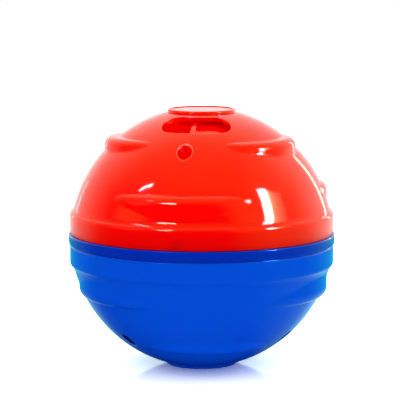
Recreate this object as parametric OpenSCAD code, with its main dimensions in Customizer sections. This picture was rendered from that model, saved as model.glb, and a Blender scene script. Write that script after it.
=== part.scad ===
// Treat ball: two moulded half shells that screw on a ring, with a slot shutter turned by a dial on top.
// The origin is the middle of the ball, on the middle plane of the ring. +Z is up and -Y is the front.

/* [Ball] */
// Radius of the domes
ball_r = 62.7; // [58:0.1:68]
// How far each dome's centre lies past the middle plane, away from its pole
dome_sink = 0.6; // [0:0.1:2]
// Wall of the half shells
wall = 2.4; // [2:0.1:3]

/* [Ring and skirts] */
// Height of the ring that shows between the halves
ring_h = 4.9; // [3.5:0.1:8]
// How far the ring stands out from the skirts
ring_proud = 0.55; // [0:0.05:1.5]
// Edge round of the ring
ring_round = 0.6; // [0.3:0.1:1.2]
// How far a skirt stands out from the dome radius
skirt_proud = 0.15; // [0:0.05:1.5]
// Height of a skirt
skirt_h = 10.6; // [9.5:0.1:14]
// Edge round of a skirt
skirt_round = 2; // [1:0.1:4]
// Gap between a skirt and the ring when screwed home
seam_gap = 0.2; // [0.1:0.05:0.5]

/* [Lips and shoulders] */
// Grip lips round each half, and as many shoulders between them
lip_count = 3; // [2:1:4]
// Radius of a lip in plan
lip_r = 48; // [42:0.1:52]
// Height at which a lip's wall meets the dome
lip_low = 15.4; // [13:0.1:17]
// Height of a lip's top
lip_top = 27; // [24:0.1:32]
// Edge round of a lip
lip_round = 4.8; // [3:0.1:6]
// Radius of a shoulder in plan
shoulder_r = 33.5; // [30:0.1:38]
// Height at which a shoulder's wall meets the dome
shoulder_low = 41.8; // [39:0.1:43.5]
// Height of a shoulder's top
shoulder_top = 48.8; // [47:0.1:50]
// Edge round of a shoulder
shoulder_round = 4.2; // [2:0.1:5]
// How far the upper half's shoulders beside its first lip are turned away from it
upper_spread = 11; // [-16:0.5:16]
// The same for the lower half
lower_spread = -14; // [-16:0.5:16]
// Turn of the lower half's lips against the upper half's, in degrees
lower_turn = 77; // [0:0.5:119]

/* [Treat holes and slot] */
// Diameter of a treat hole
hole_d = 6.8; // [6:0.1:9]
// Distance of the treat holes from the axis
hole_at = 42.4; // [40:0.1:44]
// Distance of the slot's middle line from the axis
slot_at = 25.6; // [25:0.1:27]
// Width of the slot
slot_w = 14; // [9:0.1:14.4]
// Half of the angle that the slot spans, round ends included
slot_half = 37; // [30:0.5:42]
// Turn of the slot's middle from the front
slot_turn = 4.5; // [-10:0.5:10]

/* [Dial and foot] */
// Radius of the dial on top
dial_r = 16.2; // [14:0.1:17]
// Height of the dial's disc
dial_h = 1.6; // [1.4:0.1:3]
// Width of the rim round the dial's dished face
dial_rim = 1.2; // [1:0.1:3]
// Depth of the dial's dished face
dial_dish = 0.35; // [0.1:0.05:0.6]
// Edge round of the dial and the foot
disc_round = 0.8; // [0.3:0.1:1]
// Flat ledge round the dial and the foot
disc_ledge = 1; // [0.4:0.1:2]
// Radius of the foot
foot_r = 17; // [15:0.1:18]
// Height of the foot's disc
foot_h = 1.5; // [1.4:0.1:3]
// Radius of the stems through the poles
stem_r = 5; // [4.4:0.1:6]
// Width of the stem's key across its flats
key_w = 6.2; // [5.4:0.1:7]
// Running clearance of a stem in its bore
stem_clear = 0.08; // [0.05:0.01:0.1]
// Gap between stacked faces at the poles
face_gap = 0.1; // [0.05:0.05:0.2]

/* [Shutter] */
// Depth of the shutter's face below the outside of the dome
shutter_depth = 4.5; // [4:0.1:5.5]
// Wall of the shutter
shutter_t = 1.6; // [1.2:0.1:2]
// How far the shutter reaches past the slot on every side
shutter_lap = 2.4; // [1.5:0.1:4]
// Clearance of the finger rib under the dome
rib_clear = 0.4; // [0.3:0.05:0.8]
// Width of the finger rib
rib_w = 2.4; // [1.6:0.1:3]
// Angle from the slot's middle to the shutter's edge in the photographed setting
shutter_edge = -5.5; // [-20:0.5:20]
// Radius of the shutter's hub
hub_r = 11; // [9.5:0.1:13]
// Height of the shutter's hub, and of the boss inside the foot
hub_h = 3.2; // [2.5:0.1:4]

/* [Screws and washers] */
// Radius of the washers
washer_r = 9; // [7.5:0.1:10.5]
// Thickness of the washers
washer_t = 0.8; // [0.5:0.1:1.2]
// Shank radius of the screws
screw_r = 1.6; // [1.2:0.1:2]
// Skin left over a screw's pilot hole
pilot_skin = 0.9; // [0.6:0.1:1.2]
// Gap between a screw's tip and the end of its pilot hole
tip_gap = 0.4; // [0.2:0.1:0.8]
// Head radius of the screws
head_r = 5.6; // [5.2:0.1:7]
// Head height of the screws
head_h = 2.4; // [1.8:0.1:3]
// Fit of a screw in its pilot hole, and of the hub on the key
screw_fit = 0.05; // [0.02:0.01:0.1]

/* [Thread] */
// Rise of the quick thread in one full turn
thread_lead = 36; // [24:1:48]
// Radial height of a thread ridge
thread_depth = 1.3; // [1:0.1:1.6]
// Radial clearance of the thread
thread_clear = 0.35; // [0.3:0.05:0.5]
// Width of a thread ridge and of a lug, along the axis
thread_w = 1.8; // [1.4:0.1:2.2]
// Axial clearance between a ridge and a lug
thread_play = 0.4; // [0.3:0.05:0.6]
// Angle that a thread ridge spans
thread_span = 44; // [30:1:44]
// Length of a lug round the skirt
lug_len = 6; // [4:0.5:8]
// Wall of the ring's necks
neck_wall = 2.2; // [1.8:0.1:3]

/* [Divider] */
// Width of the ledge that carries the divider
ledge_w = 3; // [2:0.1:5]
// Thickness of the ledge and the divider
plate_t = 2; // [1.5:0.1:3]
// Clearance of the divider in the ring
divider_clear = 0.4; // [0.3:0.05:0.8]
// Width of the divider's flat rim
rim_w = 6; // [4:0.1:9]
// Radius of the drop hole
drop_r = 15; // [12:0.5:20]
// Depth of the funnel to the drop hole
funnel_depth = 8; // [4:0.5:12]

/* [Hidden] */
$fn = 96;

RED = [0.92, 0.16, 0.06];
BLUE = [0.0, 0.28, 0.8];
DARK_BLUE = [0.0, 0.18, 0.65];
STEEL = [0.7, 0.7, 0.72];

// Directions are turned so that a turn of 0 faces the front
front = -90;
lip_step = 360 / lip_count;
// Overlap of cutters past the faces that they cut
past = 1;

// Heights of one half, from the middle plane to the pole
rim_z = ring_h / 2 + seam_gap;
skirt_top = rim_z + skirt_h;
skirt_r = ball_r + skirt_proud;
skirt_in_r = skirt_r - wall;
ring_r = skirt_r + ring_proud;
lip_reach = dome_radius_at(lip_low);
shoulder_reach = dome_radius_at(shoulder_low);
bore_r = stem_r + stem_clear;

// Stack under the dial, from the dome's flat seat inwards
dial_seat = seat_height(dial_r);
dial_under = dial_seat - wall;
dial_washer_z = dial_under - face_gap - washer_t;
hub_top = dial_washer_z - face_gap;
hub_low = hub_top - hub_h;

// Stack over the foot, in the same sense
foot_seat = seat_height(foot_r);
foot_under = foot_seat - wall;
foot_washer_z = foot_under - hub_h - washer_t;

// Shutter, concentric with the dome
shutter_r = ball_r - shutter_depth;
shutter_reach = slot_at + slot_w / 2 + shutter_lap;
lap_angle = asin(shutter_lap / slot_at);
shutter_span = 2 * (slot_half + lap_angle / 2);
rib_from = slot_at - slot_w / 2 - shutter_lap / 2;
rib_angle = 2 * asin(rib_w / 2 / slot_at);

// Thread between the ring's necks and the skirts
ridge_tip_r = skirt_in_r - thread_clear;
neck_r = ridge_tip_r - thread_depth;
neck_in_r = neck_r - neck_wall;
neck_top = skirt_top - wall - 2 * seam_gap;
lug_tip_r = neck_r + thread_clear;
ridge_z = neck_top - seam_gap - thread_w / 2 - thread_lead * thread_span / 360 / 2;
lug_z = ridge_z - thread_w - thread_play;
helix_tilt = atan(thread_lead / (2 * PI * neck_r));
divider_r = neck_in_r - divider_clear;

// Plan radius of the dome's outside at a height
function dome_radius_at(z) = sqrt(ball_r ^ 2 - (z + dome_sink) ^ 2);

// Height of the flat that seats a disc of radius r with its ledge
function seat_height(r) = sqrt(ball_r ^ 2 - (r + disc_ledge) ^ 2) - dome_sink;

// Upright post with a rounded top edge
module rounded_post(r, low, top, edge) {
  translate([0, 0, low])
    rotate_extrude() {
      square([r, top - low - edge]);
      square([r - edge, top - low]);
      translate([r - edge, top - low - edge]) circle(edge);
    }
}

// Turns its children to each lip direction
module around_lips() {
  for (i = [0 : lip_count - 1])
    rotate([0, 0, front + i * lip_step])
      children();
}

// Solid form of one half, offset inwards by inset, with the shoulders beside its first lip spread
module half_form(inset, spread) {
  translate([0, 0, -dome_sink]) sphere(ball_r - inset);
  rounded_post(skirt_r - inset, 0, skirt_top - inset, max(skirt_round - inset, ring_round));
  around_lips()
    translate([lip_reach - lip_r, 0, 0])
      rounded_post(lip_r - inset, 0, lip_top - inset, lip_round - inset);
  for (i = [0 : lip_count - 1])
    rotate([0, 0, front + (i + 1 / 2) * lip_step + spread * ((lip_count - 1) / 2 - i)])
      translate([shoulder_reach - shoulder_r, 0, 0])
        rounded_post(shoulder_r - inset, 0, shoulder_top - inset, max(shoulder_round - inset, ring_round));
}

// Slab between two heights, wider than the ball
module slab(low, high) {
  translate([0, 0, low]) cylinder(r = ring_r + past, h = high - low);
}

// Curved slot with round ends, cut straight down through the dome
module slot_cutter() {
  low = shutter_r * cos(slot_half);
  end_angle = slot_half - asin(slot_w / 2 / slot_at);
  translate([0, 0, low])
    rotate([0, 0, front + slot_turn]) {
      rotate([0, 0, -end_angle])
        rotate_extrude(angle = 2 * end_angle)
          translate([slot_at - slot_w / 2, 0]) square([slot_w, ball_r]);
      for (side = [-1, 1])
        rotate([0, 0, side * end_angle])
          translate([slot_at, 0, 0]) cylinder(d = slot_w, h = ball_r);
    }
}

// Lugs inside a skirt that ride under the ring's thread ridges
module lugs() {
  embed = wall / 2;
  around_lips()
    translate([lug_tip_r, 0, lug_z])
      rotate([helix_tilt, 0, 0])
        translate([0, -lug_len / 2, -thread_w / 2])
          cube([skirt_in_r + embed - lug_tip_r, lug_len, thread_w]);
}

// One half shell with its pole up, with a boss of height boss_h inside the pole
module half_shell(seat_z, boss_h, spread, slotted) {
  difference() {
    union() {
      difference() {
        intersection() {
          half_form(0, spread);
          slab(rim_z, seat_z);
        }
        intersection() {
          half_form(wall, spread);
          slab(rim_z - past, seat_z - wall);
        }
      }
      translate([0, 0, seat_z - wall - boss_h]) cylinder(r = washer_r, h = boss_h + wall / 2);
    }
    cylinder(r = bore_r, h = ball_r);
    around_lips()
      translate([hole_at, 0, skirt_top]) cylinder(d = hole_d, h = ball_r);
    if (slotted) slot_cutter();
  }
  lugs();
}

// Disc of radius r and height h with a dished face, a stem and a keyed end, seated on a pole's flat
module pole_disc(r, h, dish, seat_z, shoulder_z, key_low) {
  difference() {
    union() {
      rounded_post(r, seat_z, seat_z + h, disc_round);
      translate([0, 0, shoulder_z]) cylinder(r = stem_r, h = seat_z - shoulder_z + h / 2);
      translate([0, 0, key_low]) key(shoulder_z - key_low + h / 2, 0);
    }
    translate([0, 0, key_low - past])
      cylinder(r = screw_r + screw_fit, h = seat_z + h - dish - pilot_skin - key_low + past);
    if (dish > 0)
      translate([0, 0, seat_z + h - dish]) cylinder(r = r - dial_rim, h = dish + past);
  }
}

// Round key with two flats
module key(h, fit) {
  intersection() {
    cylinder(r = stem_r - stem_r / 8 + fit, h = h);
    translate([-stem_r, -key_w / 2 - fit, 0]) cube([2 * stem_r, key_w + 2 * fit, h]);
  }
}

// Flat washer on a stem
module washer(low) {
  translate([0, 0, low])
    difference() {
      cylinder(r = washer_r, h = washer_t);
      translate([0, 0, -past]) cylinder(r = bore_r, h = washer_t + 2 * past);
    }
}

// Cross-recess screw with its shank up, from the face under its head to near the end of its pilot hole
module screw(head_z, disc_top) {
  recess_l = head_r * 1.1;
  recess_w = head_r / 5;
  recess_h = head_h / 2;
  translate([0, 0, head_z])
    difference() {
      union() {
        translate([0, 0, -head_h]) cylinder(r1 = head_r * 0.8, r2 = head_r, h = head_h);
        cylinder(r = screw_r, h = disc_top - pilot_skin - tip_gap - head_z);
      }
      for (turn = [0, 90])
        rotate([0, 0, turn])
          translate([-recess_l / 2, -recess_w / 2, -head_h - past])
            cube([recess_l, recess_w, recess_h + past]);
    }
}

// Ridge of the quick thread on a neck: a stretch of a tilted ring, which keeps to the helix over its short span
module thread_ridge() {
  root_r = neck_r - neck_wall / 2;
  intersection() {
    translate([0, 0, ridge_z])
      rotate([helix_tilt, 0, 0])
        difference() {
          cylinder(r = ridge_tip_r, h = thread_w, center = true);
          cylinder(r = root_r, h = thread_w + past, center = true);
        }
    rotate([0, 0, -thread_span / 2])
      rotate_extrude(angle = thread_span)
        translate([root_r / 2, 0]) square([ring_r - root_r / 2, neck_top]);
  }
}

// Section of the ring, with its two necks and the ledge that carries the divider
module ring_section() {
  translate([neck_in_r, -neck_top]) square([neck_wall, 2 * neck_top]);
  translate([neck_in_r, -ring_h / 2 + ring_round]) square([ring_r - neck_in_r, ring_h - 2 * ring_round]);
  translate([neck_in_r, -ring_h / 2]) square([ring_r - ring_round - neck_in_r, ring_h]);
  for (side = [-1, 1])
    translate([ring_r - ring_round, side * (ring_h / 2 - ring_round)]) circle(ring_round);
  translate([neck_in_r - ledge_w, -plate_t]) square([ledge_w + neck_wall / 2, plate_t]);
}

// Turns its children over to the lower half
module lowered() {
  rotate([0, 0, lower_turn - lip_step / 2]) rotate([180, 0, 0]) children();
}

module upper_shell() {
  color(RED) half_shell(dial_seat, 0, upper_spread, true);
}

module top_dial() {
  color(RED) pole_disc(dial_r, dial_h, dial_dish, dial_seat + face_gap, hub_top, hub_low + face_gap);
}

// Section of the shutter from radius from_r outwards: a band concentric with the dome, up to radius top_r
module shutter_section(from_r, top_r) {
  intersection() {
    translate([0, -dome_sink])
      difference() {
        circle(top_r);
        circle(shutter_r - shutter_t);
      }
    translate([from_r, 0]) square([shutter_reach - from_r, hub_top]);
  }
}

// Curved gate under the slot, with a hub on the dial's key and a finger rib along its edge
module slot_shutter() {
  color(RED)
    difference() {
      union() {
        rotate([0, 0, front + slot_turn + shutter_edge]) {
          rotate_extrude(angle = shutter_span) shutter_section(hub_r - shutter_t, shutter_r);
          rotate_extrude(angle = rib_angle) shutter_section(rib_from, ball_r - wall - rib_clear);
        }
        translate([0, 0, hub_low]) cylinder(r = hub_r, h = hub_h);
      }
      translate([0, 0, hub_low - past]) key(hub_h + 2 * past, screw_fit);
    }
}

module dial_washer() {
  color(STEEL) washer(dial_washer_z);
}

module dial_screw() {
  color(STEEL) screw(hub_low, dial_seat + face_gap + dial_h - dial_dish);
}

module collar_ring() {
  color(DARK_BLUE) {
    rotate_extrude() ring_section();
    around_lips() thread_ridge();
    lowered() around_lips() thread_ridge();
  }
}

module divider_funnel() {
  bend_r = divider_r - rim_w;
  color(RED)
    translate([0, 0, face_gap])
      rotate_extrude()
        polygon([[divider_r, 0], [divider_r, plate_t], [bend_r, plate_t],
                 [drop_r, plate_t - funnel_depth], [drop_r, -funnel_depth], [bend_r, 0]]);
}

module lower_shell() {
  color(BLUE) lowered() half_shell(foot_seat, hub_h, lower_spread, false);
}

module foot_plug() {
  color(BLUE) lowered() pole_disc(foot_r, foot_h, 0, foot_seat + face_gap, foot_washer_z, foot_washer_z);
}

module foot_washer() {
  color(STEEL) lowered() washer(foot_washer_z);
}

module foot_screw() {
  color(STEEL) lowered() screw(foot_washer_z, foot_seat + face_gap + foot_h);
}

upper_shell();
top_dial();
slot_shutter();
dial_washer();
dial_screw();
collar_ring();
divider_funnel();
lower_shell();
foot_plug();
foot_washer();
foot_screw();
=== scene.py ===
"""Looks of the treat ball: its half shells, ring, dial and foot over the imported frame, in a pale studio.

The ball's lengths are in millimetres up to the mesh maker, which writes metres. The studio is in metres.
+Z is up and -Y is the front.
"""
import math

import bpy
import numpy as np
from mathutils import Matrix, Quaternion, Vector
from mathutils.geometry import delaunay_2d_cdt


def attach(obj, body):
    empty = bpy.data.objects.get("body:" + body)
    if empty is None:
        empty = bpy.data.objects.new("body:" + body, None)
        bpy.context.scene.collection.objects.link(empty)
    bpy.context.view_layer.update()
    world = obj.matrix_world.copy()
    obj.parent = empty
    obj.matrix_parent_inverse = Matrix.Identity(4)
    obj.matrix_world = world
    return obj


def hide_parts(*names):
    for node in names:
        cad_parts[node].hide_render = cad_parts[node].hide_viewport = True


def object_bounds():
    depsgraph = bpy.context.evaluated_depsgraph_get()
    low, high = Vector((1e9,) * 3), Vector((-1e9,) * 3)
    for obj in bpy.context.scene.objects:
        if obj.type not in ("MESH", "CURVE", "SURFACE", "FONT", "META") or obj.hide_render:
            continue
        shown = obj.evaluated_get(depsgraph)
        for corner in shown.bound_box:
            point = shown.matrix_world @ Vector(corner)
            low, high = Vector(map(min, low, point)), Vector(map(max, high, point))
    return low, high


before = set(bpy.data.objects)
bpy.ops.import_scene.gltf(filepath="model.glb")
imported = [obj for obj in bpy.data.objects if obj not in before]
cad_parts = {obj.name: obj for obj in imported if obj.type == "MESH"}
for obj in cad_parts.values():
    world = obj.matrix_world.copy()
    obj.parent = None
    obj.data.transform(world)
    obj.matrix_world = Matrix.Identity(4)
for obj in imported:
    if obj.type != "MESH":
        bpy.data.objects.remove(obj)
cad_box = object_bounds()
MM = 0.001

# Driving sizes, as in the part's source
BALL_R = 62.7
DOME_SINK = 0.6
WALL = 2.4
RING_H = 4.9
RING_PROUD = 0.55
RING_ROUND = 0.6
SKIRT_PROUD = 0.15
SKIRT_H = 10.6
SKIRT_ROUND = 2.0
SEAM_GAP = 0.2
LIP_COUNT = 3
LIP_R = 48.0
LIP_LOW = 15.4
LIP_TOP = 27.0
LIP_ROUND = 4.8
SHOULDER_R = 33.5
SHOULDER_LOW = 41.8
SHOULDER_TOP = 48.8
SHOULDER_ROUND = 4.2
UPPER_SPREAD = 11.0
LOWER_SPREAD = -14.0
LOWER_TURN = 77.0
HOLE_D = 6.8
HOLE_AT = 42.4
SLOT_AT = 25.6
SLOT_W = 14.0
SLOT_HALF = 37.0
SLOT_TURN = 4.5
DIAL_R = 16.2
DISC_LEDGE = 1.0
FOOT_R = 17.0
STEM_R = 5.0
STEM_CLEAR = 0.08
HUB_H = 3.2
WASHER_R = 9.0
THREAD_LEAD = 36.0
THREAD_DEPTH = 1.3
THREAD_CLEAR = 0.35
THREAD_W = 1.8
THREAD_PLAY = 0.4
THREAD_SPAN = 44.0
LUG_LEN = 6.0
NECK_WALL = 2.2
LEDGE_W = 3.0
PLATE_T = 2.0

# Derived sizes
FRONT = -90.0
LIP_STEP = 360.0 / LIP_COUNT
RIM_Z = RING_H / 2 + SEAM_GAP
SKIRT_TOP = RIM_Z + SKIRT_H
SKIRT_R = BALL_R + SKIRT_PROUD
SKIRT_IN_R = SKIRT_R - WALL
LEDGE_HEIGHTS = (SKIRT_TOP, LIP_TOP, SHOULDER_TOP)
RING_R = SKIRT_R + RING_PROUD
BORE_R = STEM_R + STEM_CLEAR
RIDGE_TIP_R = SKIRT_IN_R - THREAD_CLEAR
NECK_R = RIDGE_TIP_R - THREAD_DEPTH
NECK_IN_R = NECK_R - NECK_WALL
NECK_TOP = SKIRT_TOP - WALL - 2 * SEAM_GAP
LUG_TIP_R = NECK_R + THREAD_CLEAR
THREAD_CHAMFER = THREAD_W / 5
RIDGE_Z = NECK_TOP - SEAM_GAP - THREAD_W / 2 - THREAD_LEAD * THREAD_SPAN / 360 / 2
LUG_Z = RIDGE_Z - THREAD_W - THREAD_PLAY

# Rounds that the moulding has on top of the source's own
FILLET = 0.2
SKIRT_FILLET = 3.0
RIM_ROUND = 0.4
SKIRT_EDGE = 0.35
NECK_EDGE = 0.3

# Mesh density: columns round the ball, row steps outside and inside, and steps along outlines and rounds
COLUMNS = 456
OUTER_STEP = 0.75
INNER_STEP = 1.6
OUTLINE_STEP = 0.45
RIM_STEPS = 4
EDGE_STEPS = 4
BELT_STEPS = 5
RIDGE_STEPS = 4
# How much the rows of a shell crowd at a ledge, how near to it, and how finely that is summed
CROWDING = 1.6
CROWD_WIDTH = 2.0
ROW_SAMPLES = 4000
# Height from which the rows of a shell are aimed, so that ledges and walls both get enough of them
AIM_Z = -30.0
# Newton steps to the surface, the longest one, and the least slope that a step reckons with
CAST_STEPS = 30
CAST_REACH = 4
CAST_SLOPE = 0.25
# Angle from which an edge is kept as a crease
CREASE = 40
# Least radius, fillet width, distance between points and doubled area of a triangle
LEAST_R = 1e-9
LEAST_WIDTH = 1e-6
LEAST_GAP = 1e-7
SLIVER = 1e-4
# Material slots of a half shell after the first one: the walls of the openings, which in the lower half
# carry painted shade, and their rims, which carry a painted highlight
WALL_SLOT = 1
RIM_HIGHLIGHT_SLOT = 2


def dome_radius_at(z):
    """Plan radius of the dome's outside at a height."""
    return math.sqrt(BALL_R ** 2 - (z + DOME_SINK) ** 2)


def seat_height(r):
    """Height of the flat that seats a disc of radius r with its ledge."""
    return math.sqrt(BALL_R ** 2 - (r + DISC_LEDGE) ** 2) - DOME_SINK


LIP_OFFSET = dome_radius_at(LIP_LOW) - LIP_R
SHOULDER_OFFSET = dome_radius_at(SHOULDER_LOW) - SHOULDER_R


# Distance fields of the moulded form
def dome_field(p, inset):
    """Distance to the dome and its outward direction at each point."""
    q = p + np.array([0, 0, DOME_SINK])
    length = np.linalg.norm(q, axis=-1)
    return length - (BALL_R - inset), q / length[..., None]


def post_field(p, angle, offset, r, top, edge):
    """The same for an upright post with a rounded top edge, off the axis towards an angle."""
    turn = math.radians(angle)
    x = p[..., 0] - offset * math.cos(turn)
    y = p[..., 1] - offset * math.sin(turn)
    plan = np.maximum(np.hypot(x, y), LEAST_R)
    side = plan - r + edge
    over = p[..., 2] - top + edge
    out_side = np.maximum(side, 0)
    out_over = np.maximum(over, 0)
    corner = np.hypot(out_side, out_over)
    distance = np.minimum(np.maximum(side, over), 0) + corner - edge
    in_corner = corner > 0
    safe = np.where(in_corner, corner, 1)
    along = np.where(in_corner, out_side / safe, side > over)
    up = np.where(in_corner, out_over / safe, side <= over)
    return distance, np.stack([along * x / plan, along * y / plan, up], -1)


def blend(first, second, fillet):
    """Union of two fields with a rolling fillet where they meet at an angle."""
    a, a_dir = first
    b, b_dir = second
    width = fillet * (1 - np.sum(a_dir * b_dir, -1)) + LEAST_WIDTH
    share = np.maximum(1 - np.abs(a - b) / width, 0)
    b_part = np.where(a < b, share / 2, 1 - share / 2)[..., None]
    direction = a_dir * (1 - b_part) + b_dir * b_part
    direction /= np.linalg.norm(direction, axis=-1)[..., None]
    return np.minimum(a, b) - width * share ** 2 / 4, direction


def form_field(p, inset, ceiling, spread):
    """Field of one half's form, offset inwards, cut flat at a ceiling, with its shoulders spread."""
    skirt_round = max(SKIRT_ROUND - inset, RING_ROUND)
    skirt = post_field(p, 0, 0, SKIRT_R - inset, SKIRT_TOP - inset, skirt_round)
    field = blend(dome_field(p, inset), skirt, SKIRT_FILLET)
    for i in range(LIP_COUNT):
        lip = post_field(p, FRONT + i * LIP_STEP, LIP_OFFSET, LIP_R - inset, LIP_TOP - inset,
                         LIP_ROUND - inset)
        field = blend(field, lip, FILLET)
        angle = FRONT + (i + 0.5) * LIP_STEP + spread * ((LIP_COUNT - 1) / 2 - i)
        shoulder = post_field(p, angle, SHOULDER_OFFSET, SHOULDER_R - inset, SHOULDER_TOP - inset,
                              max(SHOULDER_ROUND - inset, RING_ROUND))
        field = blend(field, shoulder, FILLET)
    distance, direction = field
    over = p[..., 2] - ceiling
    flat = over > distance
    direction = np.where(flat[..., None], np.array([0.0, 0.0, 1.0]), direction)
    return np.where(flat, over, distance), direction


def cast(origin, ray, start, inset, ceiling, spread):
    """Points where rays meet the form, by Newton steps from a starting length."""
    length = start
    for _ in range(CAST_STEPS):
        point = origin + ray * length[..., None]
        distance, direction = form_field(point, inset, ceiling, spread)
        slope = np.maximum(np.sum(direction * ray, -1), CAST_SLOPE)
        length = length - np.clip(distance / slope, -CAST_REACH, CAST_REACH)
    return origin + ray * length[..., None]


# Meshes
def put_in_scene(name, data):
    """A new object in the scene."""
    piece = bpy.data.objects.new(name, data)
    bpy.context.scene.collection.objects.link(piece)
    return piece


class Builder:
    """Collects points and faces of one mesh."""

    def __init__(self):
        self.points = []
        self.faces = []
        self.slot_faces = {}

    def add(self, points):
        """Takes points in, and gives their numbers."""
        first = len(self.points)
        self.points.extend(tuple(float(c) for c in p) for p in points)
        return list(range(first, len(self.points)))

    def loft(self, loops, close=False):
        """Joins equal closed loops of point numbers, each with the next one."""
        pairs = list(zip(loops, loops[1:]))
        if close:
            pairs.append((loops[-1], loops[0]))
        for low, high in pairs:
            for i in range(len(low)):
                j = (i + 1) % len(low)
                self.faces.append((low[i], low[j], high[j], high[i]))

    def make(self, name, place):
        """The object, with its points placed, its faces smooth and its creases kept."""
        points = place(np.array(self.points)) * MM
        mesh = bpy.data.meshes.new(name)
        mesh.from_pydata(points.tolist(), [], self.faces)
        for finish, faces in self.slot_faces.items():
            for i in faces:
                mesh.polygons[i].material_index = finish
        mesh.validate()
        mesh.polygons.foreach_set("use_smooth", [True] * len(mesh.polygons))
        mesh.set_sharp_from_angle(angle=math.radians(CREASE))
        mesh.update()
        return put_in_scene(name, mesh)


def upright(points):
    """Leaves points of the upper half where they are."""
    return points


def lowered(points):
    """Turns points over to the lower half."""
    turn = math.radians(LOWER_TURN - LIP_STEP / 2)
    x, y, z = points[:, 0], -points[:, 1], -points[:, 2]
    c, s = math.cos(turn), math.sin(turn)
    return np.stack([c * x - s * y, s * x + c * y, z], -1)


def arc(centre_r, centre_z, radius, start, end, steps):
    """Profile points (radius, height) along an arc, angles in degrees from outwards to up."""
    angles = np.radians(np.linspace(start, end, steps + 1))
    return [(centre_r + radius * math.cos(a), centre_z + radius * math.sin(a)) for a in angles]


def ring_points(r, z):
    """One circle of points round the axis."""
    turn = np.arange(COLUMNS) * 2 * math.pi / COLUMNS
    return np.stack([r * np.cos(turn), r * np.sin(turn), np.full(COLUMNS, float(z))], -1)


def spin(builder, profile):
    """A solid of revolution from a closed profile that keeps off the axis, counter-clockwise."""
    builder.loft([builder.add(ring_points(r, z)) for r, z in profile], close=True)


def row_angles(low, high, step, crowded):
    """Angles from the axis, seen from the aim point, in steps that shrink near each crowded one."""
    fine = np.linspace(low, high, ROW_SAMPLES)
    density = np.full(fine.shape, 1 / step)
    reach = BALL_R - AIM_Z
    for centre in crowded:
        density += CROWDING / step * np.exp(-((fine - centre) * reach / CROWD_WIDTH) ** 2)
    run = np.concatenate([[0], np.cumsum((density[1:] + density[:-1]) / 2 * np.diff(fine) * reach)])
    count = max(int(round(run[-1])), 2)
    return np.interp(np.linspace(0, run[-1], count + 1), run, fine)


def shell_rows(angles, inset, ceiling, spread):
    """Rows of surface points, one row for each angle from the axis."""
    turn = np.arange(COLUMNS) * 2 * math.pi / COLUMNS
    tilt, turn = np.meshgrid(angles, turn, indexing="ij")
    ray = np.stack([np.sin(tilt) * np.cos(turn), np.sin(tilt) * np.sin(turn), np.cos(tilt)], -1)
    origin = np.array([0.0, 0.0, AIM_Z])
    start = np.full(tilt.shape, BALL_R - AIM_Z * np.cos(tilt))
    return cast(origin, ray, start, inset, ceiling, spread)


def heights(plan, inset, ceiling, spread):
    """Heights of the surface over plan points."""
    origin = np.concatenate([plan, np.zeros((len(plan), 1))], -1)
    ray = np.broadcast_to(np.array([0.0, 0.0, 1.0]), origin.shape)
    return cast(origin, ray, np.full(len(plan), BALL_R), inset, ceiling, spread)[:, 2]


# Openings
class Opening:
    """A hole cut straight down through a shell: its outline, and a distance to it in plan."""

    def __init__(self, outline, normals, distance):
        self.outline = outline
        self.normals = normals
        self.distance = distance


def round_hole(angle):
    """A treat hole towards an angle."""
    turn = math.radians(angle)
    centre = HOLE_AT * np.array([math.cos(turn), math.sin(turn)])
    count = int(math.pi * HOLE_D / OUTLINE_STEP)
    around = np.arange(count) * 2 * math.pi / count
    normals = np.stack([np.cos(around), np.sin(around)], -1)

    def distance(plan):
        return np.hypot(plan[..., 0] - centre[0], plan[..., 1] - centre[1]) - HOLE_D / 2

    return Opening(centre + normals * HOLE_D / 2, normals, distance)


def curved_slot():
    """The slot: a band round the axis with round ends."""
    middle = math.radians(FRONT + SLOT_TURN)
    reach = math.radians(SLOT_HALF) - math.asin(SLOT_W / 2 / SLOT_AT)
    half = SLOT_W / 2

    def side(radius, outward, start, end):
        count = int(abs(end - start) * radius / OUTLINE_STEP)
        turn = middle + np.linspace(start, end, count, endpoint=False)
        spoke = np.stack([np.cos(turn), np.sin(turn)], -1)
        return spoke * radius, spoke * outward

    def cap(end):
        count = int(math.pi * half / OUTLINE_STEP)
        back = math.pi if end < 0 else 0
        turn = middle + end + np.linspace(0, math.pi, count, endpoint=False) - back
        spoke = np.stack([np.cos(turn), np.sin(turn)], -1)
        centre = SLOT_AT * np.array([math.cos(middle + end), math.sin(middle + end)])
        return centre + spoke * half, spoke

    stretches = [side(SLOT_AT + half, 1, -reach, reach), cap(reach),
                 side(SLOT_AT - half, -1, reach, -reach), cap(-reach)]
    outline = np.concatenate([points for points, _ in stretches])
    normals = np.concatenate([spokes for _, spokes in stretches])

    def distance(plan):
        turn = np.arctan2(plan[..., 1], plan[..., 0]) - middle
        turn = (turn + math.pi) % (2 * math.pi) - math.pi
        radius = np.hypot(plan[..., 0], plan[..., 1])
        past = np.clip(turn, -reach, reach)
        nearest = SLOT_AT * np.stack([np.cos(middle + past), np.sin(middle + past)], -1)
        to_end = np.hypot(plan[..., 0] - nearest[..., 0], plan[..., 1] - nearest[..., 1])
        return np.where(np.abs(turn) <= reach, np.abs(radius - SLOT_AT), to_end) - half

    return Opening(outline, normals, distance)


def inside_polygon(points, corners):
    """Which points lie inside a closed polygon, by counting crossings."""
    x, y = points[:, 0:1], points[:, 1:2]
    x0, y0 = corners[:, 0], corners[:, 1]
    x1, y1 = np.roll(x0, -1), np.roll(y0, -1)
    spans = (y0 > y) != (y1 > y)
    rise = np.where(y1 == y0, 1, y1 - y0)
    crossing = x0 + (y - y0) / rise * (x1 - x0)
    return np.sum(spans & (x < crossing), 1) % 2 == 1


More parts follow.
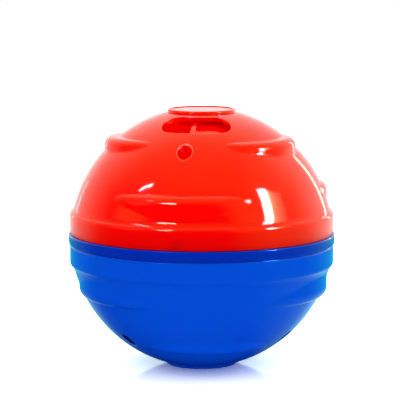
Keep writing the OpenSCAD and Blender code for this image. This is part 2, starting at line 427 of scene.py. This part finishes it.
def boundary_loop(gone, rows):
    """Point numbers round a patch of missing grid cells, counter-clockwise in the grid's sense."""
    edges = set()
    for i, j in gone:
        k = (j + 1) % COLUMNS
        corners = [rows[i][j], rows[i][k], rows[i + 1][k], rows[i + 1][j]]
        for edge in zip(corners, corners[1:] + corners[:1]):
            if edge[::-1] in edges:
                edges.remove(edge[::-1])
            else:
                edges.add(edge)
    follow = dict(sorted(edges))
    start = next(iter(follow))
    loop = [start]
    while follow[loop[-1]] != start:
        loop.append(follow[loop[-1]])
    return loop


def grid_with_openings(builder, rows, openings, margin):
    """Fills a grid of rows but for a patch round each opening; gives each patch's edge."""
    gone = [set() for _ in openings]
    plan = np.array([[builder.points[n][:2] for n in row] for row in rows])
    high = np.array([[builder.points[n][2] for n in row] for row in rows]) > SKIRT_TOP
    for opening, cells in zip(openings, gone):
        near = (opening.distance(plan) < margin) & high
        touched = near[:-1] | near[1:]
        touched |= np.roll(touched, -1, axis=1)
        cells.update(zip(*(index.tolist() for index in np.nonzero(touched))))
    missing = set().union(*gone)
    for i in range(len(rows) - 1):
        for j in range(COLUMNS):
            if (i, j) not in missing:
                k = (j + 1) % COLUMNS
                builder.faces.append((rows[i][j], rows[i + 1][j], rows[i + 1][k], rows[i][k]))
    return [boundary_loop(cells, rows) for cells in gone]


def stitch(builder, outer, inner, face_up):
    """Fills the band between a patch's edge and an opening's rim with triangles, in plan."""
    numbers = outer + inner
    plan = np.array([builder.points[n][:2] for n in numbers])
    n = len(outer)
    edges = [(i, (i + 1) % n) for i in range(n)]
    edges += [(n + i, n + (i + 1) % len(inner)) for i in range(len(inner))]
    corners = [Vector(p) for p in plan]
    verts, _, faces, origins, _, _ = delaunay_2d_cdt(corners, edges, [], 0, LEAST_GAP)
    flat = np.array(verts)
    triangles = np.array(faces)
    middles = flat[triangles].mean(1)
    keep = inside_polygon(middles, plan[:n]) & ~inside_polygon(middles, plan[n:])
    for triangle in triangles[keep]:
        a, b, c = (flat[v] for v in triangle)
        doubled_area = (b[0] - a[0]) * (c[1] - a[1]) - (b[1] - a[1]) * (c[0] - a[0])
        face = [numbers[origins[v][0]] for v in triangle]
        if abs(doubled_area) > SLIVER:
            builder.faces.append(face if (doubled_area > 0) == face_up else face[::-1])


def cut_opening(builder, opening, outer_edge, inner_edge, ceiling, under, spread):
    """The faces that meet one opening; gives the loops of its rim and wall, from the outside in."""
    loops = []
    for i in range(RIM_STEPS + 1):
        lean = i / RIM_STEPS * math.pi / 2
        plan = opening.outline + opening.normals * RIM_ROUND * (1 - math.sin(lean))
        z = heights(plan, 0, ceiling, spread) - RIM_ROUND * (1 - math.cos(lean))
        loops.append(builder.add(np.concatenate([plan, z[:, None]], -1)))
    z = heights(opening.outline, WALL, under, spread)
    loops.append(builder.add(np.concatenate([opening.outline, z[:, None]], -1)))
    stitch(builder, outer_edge, loops[0], True)
    stitch(builder, inner_edge, loops[-1], False)
    return loops


# Pieces
def helix_ridge(builder, angle, span, middle_z, tip_r, root_r, place=upright):
    """A stretch of thread with chamfered flanks, centred on an angle; its tip faces in or out."""
    inwards = tip_r < root_r
    half = THREAD_W / 2
    flank_r = tip_r + (THREAD_CHAMFER if inwards else -THREAD_CHAMFER)
    crest = half - THREAD_CHAMFER
    section = [(root_r, -half), (flank_r, -half), (tip_r, -crest),
               (tip_r, crest), (flank_r, half), (root_r, half)]
    if inwards:
        section = section[::-1]
    steps = max(int(span), RIDGE_STEPS)
    loops = []
    for i in range(steps + 1):
        along = span * (i / steps - 0.5)
        turn = math.radians(angle + along)
        rise = middle_z + THREAD_LEAD * along / 360
        points = np.array([[r * math.cos(turn), r * math.sin(turn), rise + z] for r, z in section])
        loops.append(builder.add(place(points)))
    builder.loft(loops[::-1])
    builder.faces.append(tuple(loops[0]))
    builder.faces.append(tuple(loops[-1][::-1]))


def half_shell(name, disc_r, boss_h, spread, slotted, place):
    """One moulded half, pole up before it is placed."""
    builder = Builder()
    seat = seat_height(disc_r)
    under = seat - WALL
    edge_z = RIM_Z + SKIRT_EDGE
    ledges = [math.atan2(dome_radius_at(z), z - AIM_Z) for z in LEDGE_HEIGHTS]
    top = math.atan2(disc_r + DISC_LEDGE, seat - AIM_Z)
    bottom = math.atan2(SKIRT_R, edge_z - AIM_Z)
    outer = shell_rows(row_angles(top, bottom, OUTER_STEP, ledges), 0, seat, spread)
    inner_ledges = [math.atan2(dome_radius_at(z) - WALL, z - WALL - AIM_Z) for z in LEDGE_HEIGHTS]
    inner_top = math.atan2(WASHER_R + DISC_LEDGE, under - AIM_Z)
    inner_bottom = math.atan2(SKIRT_IN_R, edge_z - AIM_Z)
    inner_angles = row_angles(inner_top, inner_bottom, INNER_STEP, inner_ledges)
    inner = shell_rows(inner_angles, WALL, under, spread)[::-1]

    outer_rows = [builder.add(row) for row in outer]
    edge = arc(SKIRT_R - SKIRT_EDGE, edge_z, SKIRT_EDGE, -90 / EDGE_STEPS, -90, EDGE_STEPS - 1)
    rim_rows = [builder.add(ring_points(r, z)) for r, z in edge]
    rim_rows.append(builder.add(ring_points(SKIRT_IN_R + SKIRT_EDGE / 2, RIM_Z)))
    inner_rows = [builder.add(row) for row in inner]
    pole = [(WASHER_R, under)]
    if boss_h > 0:
        pole.append((WASHER_R, under - boss_h))
    pole += [(BORE_R, under - boss_h), (BORE_R, seat - SKIRT_EDGE / 2)]
    pole += [(BORE_R + SKIRT_EDGE / 2, seat)]
    pole_rows = [builder.add(ring_points(r, z)) for r, z in pole]

    openings = [round_hole(FRONT + i * LIP_STEP) for i in range(LIP_COUNT)]
    if slotted:
        openings.append(curved_slot())
    margin = RIM_ROUND + OUTER_STEP / 3
    outer_edges = grid_with_openings(builder, outer_rows, openings, margin)
    inner_edges = grid_with_openings(builder, inner_rows, openings, INNER_STEP / 3)
    loops = []
    for opening, outer_edge, inner_edge in zip(openings, outer_edges, inner_edges):
        loops.append(cut_opening(builder, opening, outer_edge, inner_edge, seat, under, spread))
    # The walls of the openings get painted shade in the lower half, and their rims a painted highlight in
    # both halves.
    first_wall = len(builder.faces)
    for stretch in loops:
        builder.loft(stretch[-2:])
    first_rim = len(builder.faces)
    for stretch in loops:
        builder.loft(stretch[:-1])
    builder.slot_faces[WALL_SLOT] = range(first_wall, first_rim)
    builder.slot_faces[RIM_HIGHLIGHT_SLOT] = range(first_rim, len(builder.faces))
    builder.loft([inner_rows[0]] + rim_rows[::-1] + [outer_rows[-1]])
    builder.loft([outer_rows[0]] + pole_rows[::-1] + [inner_rows[-1]])
    for i in range(LIP_COUNT):
        helix_ridge(builder, FRONT + i * LIP_STEP, math.degrees(LUG_LEN / LUG_TIP_R),
                    LUG_Z, LUG_TIP_R, SKIRT_IN_R + WALL / 2)
    return builder.make(name, place)


def collar_ring():
    """The ring between the halves, with its necks, divider ledge and quick threads."""
    builder = Builder()
    half = RING_H / 2
    round_r = RING_R - RING_ROUND
    round_z = half - RING_ROUND
    flat = round_z - NECK_EDGE / 2
    neck_side = NECK_TOP - NECK_EDGE
    neck_faces = (NECK_R - NECK_EDGE, NECK_IN_R + NECK_EDGE)
    ledge_r = NECK_IN_R - LEDGE_W
    profile = arc(round_r, -round_z, RING_ROUND, -90, 0, BELT_STEPS)
    profile += [(RING_R, -flat), (RING_R, flat)]
    profile += arc(round_r, round_z, RING_ROUND, 0, 90, BELT_STEPS)
    profile += [(NECK_R, half), (NECK_R, neck_side)]
    profile += [(r, NECK_TOP) for r in neck_faces]
    profile += [(NECK_IN_R, neck_side), (NECK_IN_R, 0)]
    profile += [(ledge_r, 0), (ledge_r, -PLATE_T), (NECK_IN_R, -PLATE_T)]
    profile += [(NECK_IN_R, -neck_side)]
    profile += [(r, -NECK_TOP) for r in neck_faces[::-1]]
    profile += [(NECK_R, -neck_side), (NECK_R, -half)]
    spin(builder, profile)
    for i in range(LIP_COUNT):
        for place in (upright, lowered):
            helix_ridge(builder, FRONT + i * LIP_STEP, THREAD_SPAN, RIDGE_Z, RIDGE_TIP_R,
                        NECK_R - NECK_WALL / 2, place)
    return builder.make("ring_belt", upright)


# Node trees
class Tree:
    """A node tree with short forms for adding and joining nodes."""

    def __init__(self, owner):
        owner.use_nodes = True
        self.nodes = owner.node_tree.nodes
        self.links = owner.node_tree.links

    def put(self, socket, value):
        """Links a socket to another one, or sets its value."""
        if isinstance(value, bpy.types.NodeSocket):
            self.links.new(value, socket)
        else:
            socket.default_value = value

    def add(self, kind, inputs, **settings):
        """A new node with its settings and inputs; gives its outputs."""
        node = self.nodes.new("ShaderNode" + kind)
        for name, value in settings.items():
            setattr(node, name, value)
        for name, value in inputs.items():
            self.put(node.inputs[name], value)
        return node.outputs

    def sum(self, first, second):
        return self.add("Math", {0: first, 1: second}, operation="ADD")["Value"]

    def product(self, first, second):
        return self.add("Math", {0: first, 1: second}, operation="MULTIPLY")["Value"]

    def mix(self, share, first, second):
        """A number between two others."""
        return self.add("Mix", {"Factor": share, "A": first, "B": second})["Result"]

    def tint(self, share, first, second):
        """A colour between two others."""
        node = self.nodes.new("ShaderNodeMix")
        node.data_type = "RGBA"
        self.put(node.inputs["Factor"], share)
        for name, colour in (("A", first), ("B", second)):
            linked = isinstance(colour, bpy.types.NodeSocket)
            self.put(node.inputs[name], colour if linked else (*colour, 1))
        return node.outputs["Result"]

    def layer(self, share, under, over):
        """A share of one shader over another."""
        return self.add("MixShader", {"Fac": share, 1: under, 2: over})["Shader"]

    def slope(self, value, low, high, start=0.0, end=1.0):
        """A number that runs from start to end as a value goes from low to high, and stays."""
        inputs = {"Value": value, "From Min": low, "From Max": high, "To Min": start, "To Max": end}
        return self.add("MapRange", inputs)["Result"]

    def ramp(self, direction, axis, stops):
        """A number that follows stops by how far a direction points along an axis."""
        along = self.add("VectorMath", {0: direction, 1: axis}, operation="DOT_PRODUCT")["Value"]
        total = stops[0][1]
        for (low, start), (high, end) in zip(stops, stops[1:]):
            total = self.sum(total, self.slope(along, low, high, 0.0, end - start))
        return total

    def noise(self, place, scale, detail):
        return self.add("TexNoise", {"Vector": place, "Scale": scale, "Detail": detail})["Fac"]


# Materials
PLASTIC_IOR = 1.5
# Scale and detail of the noise in the colour, the haze and the ripple
COLOUR_NOISE = (24, 3)
HAZE_NOISE = (90, 4)
RIPPLE_NOISE = (160, 2)
# Least and most roughness in the haze, as shares of the plastic's own
HAZE_LOW = 0.8
HAZE_HIGH = 1.25
RIPPLE_STRENGTH = 0.05
RIPPLE_HEIGHT = 0.0002
# Scale and waver of the turning marks in steel, and the looks that they run between
MARK_SCALE = 900
MARK_WAVER = 1.5
STEEL_DULL = (0.55, 0.55, 0.56)
STEEL_BRIGHT = (0.72, 0.72, 0.74)
STEEL_ROUGHNESS = (0.22, 0.38)


def plastic(name, colour, deep, gloss_tint, roughness, depth, glow):
    """Glossy moulded plastic that lets a little light in, with slow shifts of colour.

    Its gloss has a faint ripple and haze. The depth is that of light in the plastic, in millimetres.
    """
    material = bpy.data.materials.new(name)
    tree = Tree(material)
    shader = tree.nodes["Principled BSDF"].inputs
    place = tree.add("TexCoord", {})["Object"]
    shader["IOR"].default_value = PLASTIC_IOR
    shader["Specular Tint"].default_value = (*gloss_tint, 1)
    shader["Subsurface Weight"].default_value = glow
    shader["Subsurface Radius"].default_value = depth
    shader["Subsurface Scale"].default_value = MM
    tree.put(shader["Base Color"], tree.tint(tree.noise(place, *COLOUR_NOISE), deep, colour))
    haze = tree.noise(place, *HAZE_NOISE)
    haze = tree.slope(haze, 0.0, 1.0, roughness * HAZE_LOW, roughness * HAZE_HIGH)
    tree.put(shader["Roughness"], haze)
    ripple = {"Strength": RIPPLE_STRENGTH, "Distance": RIPPLE_HEIGHT,
              "Height": tree.noise(place, *RIPPLE_NOISE)}
    tree.put(shader["Normal"], tree.add("Bump", ripple)["Normal"])
    return material


def steel(name):
    """Zinc-plated steel with fine turning marks."""
    material = bpy.data.materials.new(name)
    tree = Tree(material)
    shader = tree.nodes["Principled BSDF"].inputs
    place = tree.add("TexCoord", {})["Object"]
    shader["Metallic"].default_value = 1
    rings = {"Vector": place, "Scale": MARK_SCALE, "Distortion": MARK_WAVER}
    marks = tree.add("TexWave", rings, wave_type="RINGS", rings_direction="Z")["Fac"]
    tree.put(shader["Base Color"], tree.tint(marks, STEEL_DULL, STEEL_BRIGHT))
    tree.put(shader["Roughness"], tree.slope(marks, 0.0, 1.0, *STEEL_ROUGHNESS))
    return material


RED = plastic("red_plastic_look", (1.0, 0.0015, 0.0012), (0.98, 0.001, 0.001),
              gloss_tint=(1.0, 0.8, 0.1), roughness=0.06, depth=(8, 0.5, 0.3), glow=1.0)
BLUE = plastic("blue_plastic_look", (0.001, 0.073, 0.62), (0.001, 0.068, 0.59),
               gloss_tint=(0.05, 0.5, 1.0), roughness=0.08, depth=(0.3, 0.5, 2), glow=0.5)
DENSE_RED = plastic("dense_red_look", (0.98, 0.004, 0.002), (0.95, 0.003, 0.0015),
                    gloss_tint=(1.0, 0.8, 0.1), roughness=0.08, depth=(1, 0.3, 0.2), glow=0.3)
# Paler plastics that paint a highlight on the rounded rims of the openings.
PAINTED_HIGHLIGHT_RED = plastic("painted_highlight_red_look", (1.0, 0.13, 0.05), (1.0, 0.11, 0.04),
                   gloss_tint=(1.0, 0.8, 0.5), roughness=0.2, depth=(1, 0.3, 0.2), glow=0.5)
PAINTED_HIGHLIGHT_BLUE = plastic("painted_highlight_blue_look", (0.01, 0.2, 0.8), (0.01, 0.18, 0.76),
                    gloss_tint=(0.1, 0.6, 1.0), roughness=0.2, depth=(0.2, 0.3, 1), glow=0.3)
# A dark blue that paints shade on the walls of the lower half's holes.
PAINTED_SHADE_BLUE = plastic("painted_shade_blue_look", (0.0, 0.004, 0.12), (0.0, 0.003, 0.1),
                      gloss_tint=(0.05, 0.2, 0.5), roughness=0.3, depth=(0.1, 0.1, 0.2), glow=0.1)
DARK_BLUE = plastic("dark_blue_plastic_look", (0.001, 0.023, 0.39), (0.001, 0.021, 0.365),
                    gloss_tint=(0.05, 0.5, 1.0), roughness=0.1, depth=(0.3, 0.5, 2), glow=0.5)
STEEL = steel("zinc_steel_look")


def dress(piece, materials, body, node):
    """Gives a modelled piece its materials, for the half shells painted shade and painted highlight among
    them, and its place in the frame.
    """
    for material in materials:
        piece.data.materials.append(material)
    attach(piece, body)
    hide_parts(node)


upper = half_shell("upper_half_shell", DIAL_R, 0, UPPER_SPREAD, True, upright)
lower = half_shell("lower_half_shell", FOOT_R, HUB_H, LOWER_SPREAD, False, lowered)
# The lower half's hole walls get painted shade, and the rims of every opening a painted highlight.
dress(upper, [RED, RED, PAINTED_HIGHLIGHT_RED], "upper_half", "upper_shell")
dress(lower, [BLUE, PAINTED_SHADE_BLUE, PAINTED_HIGHLIGHT_BLUE], "lower_half", "lower_shell")
dress(collar_ring(), [DARK_BLUE], "collar", "collar_ring")

CAD_FINISH = {"top_dial": DENSE_RED, "slot_shutter": RED, "divider_funnel": RED, "foot_plug": BLUE,
              "dial_washer": STEEL, "dial_screw": STEEL, "foot_washer": STEEL, "foot_screw": STEEL}
for node, material in CAD_FINISH.items():
    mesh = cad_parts[node].data
    mesh.materials.clear()
    mesh.materials.append(material)

# Studio, laid out from the photograph's viewpoint
AZIMUTH = 10.5
ELEVATION = 8.65
# Even light from all round
FILL = 1.25
# Brightness that gloss sees: stops along the direction to each wall, and the turn and rise of two walls
BACK_STOPS = [(-0.2, 0), (0.1, 0.15), (0.45, 0.7), (0.7, 0.93), (0.9, 1.2)]
SIDE_STOPS = [(0.4, 0), (0.85, 0.6)]
TOP_STOPS = [(0.4, 0), (0.95, 0.65)]
LEFT_WALL = (-69, 15)
LEFT_STOPS = [(0.94, 0), (0.985, 0.55)]
RIGHT_WALL = (42, 15)
RIGHT_STOPS = [(0.93, 0), (0.985, 0.35)]
# Floor: its paint for light and for the camera, and its polish
FLOOR_Z = cad_box[0][2]
FLOOR_HALF = 3.0
PAINT = (0.97, 0.97, 0.97)
PAINT_SHOWN = (2.3, 2.35, 1.95)
POLISH = (0.8, 1, 0.75, 1)
POLISH_ROUGHNESS = 0.07
POLISH_SHARE = 0.36
# Distances from the ball between which the floor takes on its own light, and the share of it
LIT_RANGE = (0.05, 0.09)
LIT_SHARE = 0.5
# Colours of the floor in the gloss, by distance from a middle that lies a little towards the camera:
# painted blue-green near the ball, standing for the ball's blue light bounced onto the floor, then white
# further out
PAINTED_BLUE_MIDDLE = 0.03
NEAR_PAINTED_BLUE = (0.4, 0.95, 1.0)
FAR_PAINTED_BLUE = (0.03, 0.6, 0.7)
OUTSIDE_TINT = (1, 1, 1)
FAR_RANGE = (0.13, 0.26)
OUTSIDE_RANGE = (0.472, 0.482)


def heading(turn, rise):
    """Direction from the ball, turned to the right of the camera and raised, in degrees."""
    turn = math.radians(AZIMUTH + turn)
    rise = math.radians(rise)
    level = math.cos(rise)
    return Vector((math.sin(turn) * level, -math.cos(turn) * level, math.sin(rise)))


def gloss_light(tree, direction):
    """Brightness that gloss finds in a direction: a dark front, and a white back, right side and top."""
    back = tree.ramp(direction, heading(180, 0), BACK_STOPS)
    side = tree.ramp(direction, heading(90, 0), SIDE_STOPS)
    top = tree.ramp(direction, (0, 0, 1), TOP_STOPS)
    left_wall = tree.ramp(direction, heading(*LEFT_WALL), LEFT_STOPS)
    right_wall = tree.ramp(direction, heading(*RIGHT_WALL), RIGHT_STOPS)
    return tree.sum(tree.sum(tree.sum(back, side), top), tree.sum(left_wall, right_wall))


def floor():
    """A plain pale floor: polished white paint, overexposed to the camera, with a map for gloss in which
    the ball's blue light on the floor near it is painted in.
    """
    mesh = bpy.data.meshes.new("floor")
    signs = [(-1, -1), (1, -1), (1, 1), (-1, 1)]
    corners = [(x * FLOOR_HALF, y * FLOOR_HALF, FLOOR_Z) for x, y in signs]
    mesh.from_pydata(corners, [], [(0, 1, 2, 3)])
    piece = put_in_scene("floor", mesh)
    material = bpy.data.materials.new("floor_look")
    mesh.materials.append(material)

    tree = Tree(material)
    tree.nodes.remove(tree.nodes["Principled BSDF"])
    place = tree.add("NewGeometry", {})["Position"]
    away = tree.add("VectorMath", {0: place}, operation="LENGTH")["Value"]
    direction = tree.add("VectorMath", {0: place}, operation="NORMALIZE")["Vector"]
    path = tree.add("LightPath", {})
    level = tree.tint(path["Is Camera Ray"], PAINT, PAINT_SHOWN)
    paint = tree.add("BsdfDiffuse", {"Color": level})["BSDF"]
    polish = tree.add("BsdfGlossy", {"Color": POLISH, "Roughness": POLISH_ROUGHNESS})["BSDF"]
    polished = tree.product(path["Is Camera Ray"], POLISH_SHARE)
    plain = tree.layer(polished, paint, polish)
    lit = tree.product(path["Is Diffuse Ray"], tree.slope(away, *LIT_RANGE, 0.0, LIT_SHARE))
    glow = tree.add("Emission", {"Strength": FILL})["Emission"]
    plain = tree.layer(lit, plain, glow)
    # In the gloss the floor near the ball is painted blue-green, standing for the ball's light bounced
    # onto it, and it turns white further out.
    middle = PAINTED_BLUE_MIDDLE * heading(0, 0)
    reach = tree.add("VectorMath", {0: place, 1: middle}, operation="DISTANCE")["Value"]
    inside = tree.tint(tree.slope(reach, *FAR_RANGE), NEAR_PAINTED_BLUE, FAR_PAINTED_BLUE)
    shown = tree.tint(tree.slope(reach, *OUTSIDE_RANGE), inside, OUTSIDE_TINT)
    mirrored = {"Color": shown, "Strength": gloss_light(tree, direction)}
    mirrored = tree.add("Emission", mirrored)["Emission"]
    floor_look = tree.layer(path["Is Glossy Ray"], plain, mirrored)
    tree.put(tree.nodes["Material Output"].inputs["Surface"], floor_look)


def studio_world():
    """White to the camera, an even fill for the light, and its own map for gloss."""
    world = bpy.data.worlds.new("studio")
    bpy.context.scene.world = world
    tree = Tree(world)
    direction = tree.add("TexCoord", {})["Generated"]
    path = tree.add("LightPath", {})
    light = tree.mix(path["Is Glossy Ray"], FILL, gloss_light(tree, direction))
    light = tree.mix(path["Is Camera Ray"], light, 1.0)
    background = tree.nodes["Background"].inputs
    background["Color"].default_value = (1, 1, 1, 1)
    tree.put(background["Strength"], light)


# Lamps
WHITE = (1.0, 1.0, 1.0)
# Blue enough to come out white in the red gloss
COLD = (0.14, 0.17, 1.0)
# Less blue, to come out as a paler red
MILD = (0.25, 0.2, 0.42)
LAMP_DISTANCE = 1.2
# The right box and the weaker boxes beside it, in which its light fades out
RIGHT_RISE = 24
RIGHT_WIDTH = 0.17
RIGHT_ROLL = -12
FADE_LEVELS = (35, 16, 6, 5, 6)
FADE_TURN = 67
FADE_TURN_STEP = 3
FADE_HEIGHT = 0.6
FADE_HEIGHT_STEP = 0.06
# The lamp in the upper half
GLOW_LEVEL = 0.023
GLOW_COLOUR = (1.0, 0.0, 0.0)
GLOW_R = 0.008
GLOW_Z = 0.025


def lamp(name, colour, turn, rise, width, height, level, roll=0):
    """A soft box of a given colour and brightness, facing the ball, that shows only in gloss."""
    data = bpy.data.lights.new(name, "AREA")
    data.shape = "RECTANGLE"
    data.size = width
    data.size_y = height
    data.energy = level * math.pi * width * height
    data.color = colour
    piece = put_in_scene(name, data)
    piece.location = LAMP_DISTANCE * heading(turn, rise)
    facing = (-piece.location).to_track_quat("-Z", "Y")
    piece.rotation_euler = (facing @ Quaternion((0, 0, 1), math.radians(roll))).to_euler()
    piece.visible_camera = False
    piece.visible_diffuse = False


def inner_glow():
    """A lamp in the upper half that stands for the light coming in through its wall."""
    data = bpy.data.lights.new("inner_glow", "POINT")
    data.energy = GLOW_LEVEL
    data.color = GLOW_COLOUR
    data.shadow_soft_size = GLOW_R
    piece = put_in_scene("inner_glow", data)
    piece.location = (0, 0, GLOW_Z)
    piece.visible_camera = False
    piece.visible_glossy = False


floor()
studio_world()
lamp("right_box", COLD, turn=64, rise=RIGHT_RISE, width=RIGHT_WIDTH, height=0.7, level=250,
     roll=RIGHT_ROLL)
for i, level in enumerate(FADE_LEVELS):
    lamp("right_fade_%d" % i, MILD, turn=FADE_TURN + FADE_TURN_STEP * i, rise=RIGHT_RISE,
         width=RIGHT_WIDTH, height=FADE_HEIGHT - FADE_HEIGHT_STEP * i, level=level, roll=RIGHT_ROLL)
lamp("left_box", COLD, turn=-33, rise=30, width=0.3, height=0.26, level=150)
lamp("left_slit", COLD, turn=-65.5, rise=42, width=0.24, height=0.006, level=1500, roll=46.5)
lamp("right_strip", WHITE, turn=143, rise=10, width=0.11, height=0.55, level=4)
lamp("left_strip", WHITE, turn=-147, rise=1, width=0.02, height=0.3, level=6)
inner_glow()

# Camera at the photograph's angle, aimed a little over the middle of the ball
DISTANCE = 1.05
AIM = Vector((-0.0008, 0.0, 0.0176))
FRAME_WIDTH = 0.1911
SENSOR_WIDTH = 36
CLIP_END = 20

camera_data = bpy.data.cameras.new("camera")
camera_data.sensor_width = SENSOR_WIDTH
camera_data.lens = SENSOR_WIDTH * DISTANCE / FRAME_WIDTH
camera_data.clip_end = CLIP_END
camera = put_in_scene("camera", camera_data)
camera.location = DISTANCE * heading(0, ELEVATION)
camera.rotation_euler = (AIM - camera.location).to_track_quat("-Z", "Y").to_euler()
bpy.context.scene.camera = camera
bpy.context.scene.view_settings.view_transform = "Standard"
